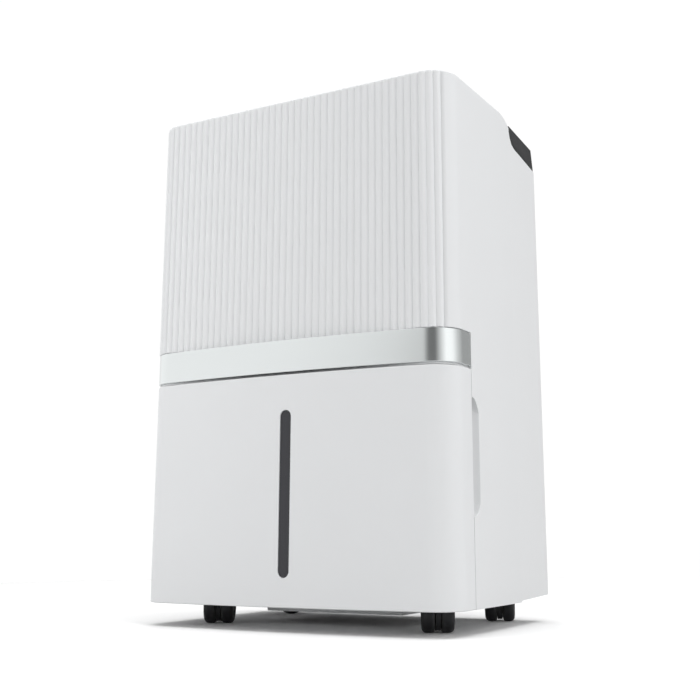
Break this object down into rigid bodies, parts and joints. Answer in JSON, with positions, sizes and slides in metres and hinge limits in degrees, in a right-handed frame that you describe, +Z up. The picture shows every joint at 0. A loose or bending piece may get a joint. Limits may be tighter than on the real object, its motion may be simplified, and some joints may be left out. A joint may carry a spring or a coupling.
{
  "type": "dehumidifier",
  "caption": "Portable dehumidifier: reeded front over a metal band, slide-out water bucket with level window, top-rear air outlet, swivelling twin-wheel casters.",
  "frame": {"origin": "on the floor, under the middle of the body's bounding box", "axes": "+Z up, the front faces -Y, +X to the right seen from the front"},
  "size_m": [0.392, 0.27, 0.5908],
  "materials": {
    "white_plastic": "fine satin moulding grain",
    "band_metal": "satin brushed",
    "charcoal_plastic": "fine spark grain",
    "black_plastic": "satin",
    "wheel_rubber": "matte tread",
    "bright_steel": "drawn",
    "galvanised_metal": "bare fins",
    "copper_tube": "drawn copper",
    "grey_plastic": "moulded",
    "tank_plastic": "frosted moulding",
    "smoked_lens": "smoked, glossy",
    "panel_gloss": "polished",
    "button_plastic": "satin caps",
    "circuit_board": "solder mask",
    "compressor_paint": "black enamel",
    "float_foam": "closed-cell foam",
    "soft_rubber": "matte"
  },
  "bodies": {
    "cabinet": {"cabinet_shell": "white_plastic", "trim_band": "band_metal", "top_cover": "white_plastic", "control_panel": "panel_gloss", "display_window": "panel_gloss", "control_board": "circuit_board", "rear_cover": "white_plastic", "cord_gland": "black_plastic", "outlet_deck": "charcoal_plastic", "outlet_grille": "charcoal_plastic", "base_pan": "grey_plastic", "bay_housing": "grey_plastic", "bucket_sensor": "black_plastic", "drain_tray": "grey_plastic", "evaporator_coil": "galvanised_metal", "condenser_coil": "galvanised_metal", "compressor": "compressor_paint", "compressor_grommet_1": "soft_rubber", "compressor_grommet_2": "soft_rubber", "compressor_grommet_3": "soft_rubber", "accumulator": "copper_tube", "suction_pipe": "copper_tube", "discharge_pipe": "copper_tube", "fan_housing": "grey_plastic", "fan_motor": "bright_steel", "air_duct": "grey_plastic", "power_box": "grey_plastic", "run_capacitor": "galvanised_metal"},
    "bucket": {"bucket_front": "white_plastic", "level_window": "smoked_lens", "bucket_tank": "tank_plastic", "bucket_lid": "tank_plastic"},
    "float": {"bucket_float": "float_foam"},
    "fan": {"fan_wheel": "black_plastic", "fan_shaft": "bright_steel"},
    "filter": {"filter_cassette": "white_plastic", "air_filter": "black_plastic"},
    "plug": {"drain_plug": "soft_rubber"},
    "button_power": {"button_power": "button_plastic"},
    "button_mode": {"button_mode": "button_plastic"},
    "button_fan_speed": {"button_fan_speed": "button_plastic"},
    "button_timer": {"button_timer": "button_plastic"},
    "button_up": {"button_up": "button_plastic"},
    "button_down": {"button_down": "button_plastic"},
    "front_left_caster": {"front_left_caster_fork": "black_plastic", "front_left_caster_axle": "bright_steel"},
    "front_left_wheel_inner": {"front_left_wheel_inner": "wheel_rubber"},
    "front_left_wheel_outer": {"front_left_wheel_outer": "wheel_rubber"},
    "front_right_caster": {"front_right_caster_fork": "black_plastic", "front_right_caster_axle": "bright_steel"},
    "front_right_wheel_inner": {"front_right_wheel_inner": "wheel_rubber"},
    "front_right_wheel_outer": {"front_right_wheel_outer": "wheel_rubber"},
    "rear_left_caster": {"rear_left_caster_fork": "black_plastic", "rear_left_caster_axle": "bright_steel"},
    "rear_left_wheel_inner": {"rear_left_wheel_inner": "wheel_rubber"},
    "rear_left_wheel_outer": {"rear_left_wheel_outer": "wheel_rubber"},
    "rear_right_caster": {"rear_right_caster_fork": "black_plastic", "rear_right_caster_axle": "bright_steel"},
    "rear_right_wheel_inner": {"rear_right_wheel_inner": "wheel_rubber"},
    "rear_right_wheel_outer": {"rear_right_wheel_outer": "wheel_rubber"}
  },
  "joints": [
    {"name": "bucket_slide", "type": "slide", "parent": "cabinet", "child": "bucket", "axis": [0, -1, 0], "range_m": [0, 0.16]},
    {"name": "float_hinge", "type": "hinge", "parent": "bucket", "child": "float", "pos_m": [0.062, -0.069, 0.2124], "axis": [0, -1, 0], "range_deg": [0, 12]},
    {"name": "fan_spin", "type": "hinge", "parent": "cabinet", "child": "fan", "pos_m": [0, 0.008, 0.4], "axis": [0, 1, 0], "continuous": true},
    {"name": "filter_slide", "type": "slide", "parent": "cabinet", "child": "filter", "axis": [0, 1, 0], "range_m": [0, 0.05]},
    {"name": "plug_pull", "type": "slide", "parent": "cabinet", "child": "plug", "axis": [0, 1, 0], "range_m": [0, 0.03]},
    {"name": "press_power", "type": "slide", "parent": "cabinet", "child": "button_power", "axis": [0, 0, -1], "range_m": [0, 0.001], "stiffness_N_per_m": 800},
    {"name": "press_mode", "type": "slide", "parent": "cabinet", "child": "button_mode", "axis": [0, 0, -1], "range_m": [0, 0.001], "stiffness_N_per_m": 800},
    {"name": "press_fan_speed", "type": "slide", "parent": "cabinet", "child": "button_fan_speed", "axis": [0, 0, -1], "range_m": [0, 0.001], "stiffness_N_per_m": 800},
    {"name": "press_timer", "type": "slide", "parent": "cabinet", "child": "button_timer", "axis": [0, 0, -1], "range_m": [0, 0.001], "stiffness_N_per_m": 800},
    {"name": "press_up", "type": "slide", "parent": "cabinet", "child": "button_up", "axis": [0, 0, -1], "range_m": [0, 0.001], "stiffness_N_per_m": 800},
    {"name": "press_down", "type": "slide", "parent": "cabinet", "child": "button_down", "axis": [0, 0, -1], "range_m": [0, 0.001], "stiffness_N_per_m": 800},
    {"name": "front_left_swivel", "type": "hinge", "parent": "cabinet", "child": "front_left_caster", "pos_m": [-0.139, -0.046, 0.045], "axis": [0, 0, 1], "continuous": true},
    {"name": "front_left_roll_inner", "type": "hinge", "parent": "front_left_caster", "child": "front_left_wheel_inner", "pos_m": [-0.13173, -0.05912, 0.01871], "axis": [0.8746, 0.4848, 0], "continuous": true},
    {"name": "front_left_roll_outer", "type": "hinge", "parent": "front_left_caster", "child": "front_left_wheel_outer", "pos_m": [-0.13173, -0.05912, 0.01871], "axis": [0.8746, 0.4848, 0], "continuous": true},
    {"name": "front_right_swivel", "type": "hinge", "parent": "cabinet", "child": "front_right_caster", "pos_m": [0.139, -0.046, 0.045], "axis": [0, 0, 1], "continuous": true},
    {"name": "front_right_roll_inner", "type": "hinge", "parent": "front_right_caster", "child": "front_right_wheel_inner", "pos_m": [0.14627, -0.05912, 0.01871], "axis": [0.8746, 0.4848, 0], "continuous": true},
    {"name": "front_right_roll_outer", "type": "hinge", "parent": "front_right_caster", "child": "front_right_wheel_outer", "pos_m": [0.14627, -0.05912, 0.01871], "axis": [0.8746, 0.4848, 0], "continuous": true},
    {"name": "rear_left_swivel", "type": "hinge", "parent": "cabinet", "child": "rear_left_caster", "pos_m": [-0.152, 0.092, 0.045], "axis": [0, 0, 1], "continuous": true},
    {"name": "rear_left_roll_inner", "type": "hinge", "parent": "rear_left_caster", "child": "rear_left_wheel_inner", "pos_m": [-0.14051, 0.10164, 0.01871], "axis": [-0.6428, 0.766, 0], "continuous": true},
    {"name": "rear_left_roll_outer", "type": "hinge", "parent": "rear_left_caster", "child": "rear_left_wheel_outer", "pos_m": [-0.14051, 0.10164, 0.01871], "axis": [-0.6428, 0.766, 0], "continuous": true},
    {"name": "rear_right_swivel", "type": "hinge", "parent": "cabinet", "child": "rear_right_caster", "pos_m": [0.152, 0.092, 0.045], "axis": [0, 0, 1], "continuous": true},
    {"name": "rear_right_roll_inner", "type": "hinge", "parent": "rear_right_caster", "child": "rear_right_wheel_inner", "pos_m": [0.14687, 0.1061, 0.01871], "axis": [-0.9397, -0.342, 0], "continuous": true},
    {"name": "rear_right_roll_outer", "type": "hinge", "parent": "rear_right_caster", "child": "rear_right_wheel_outer", "pos_m": [0.14687, 0.1061, 0.01871], "axis": [-0.9397, -0.342, 0], "continuous": true}
  ]
}
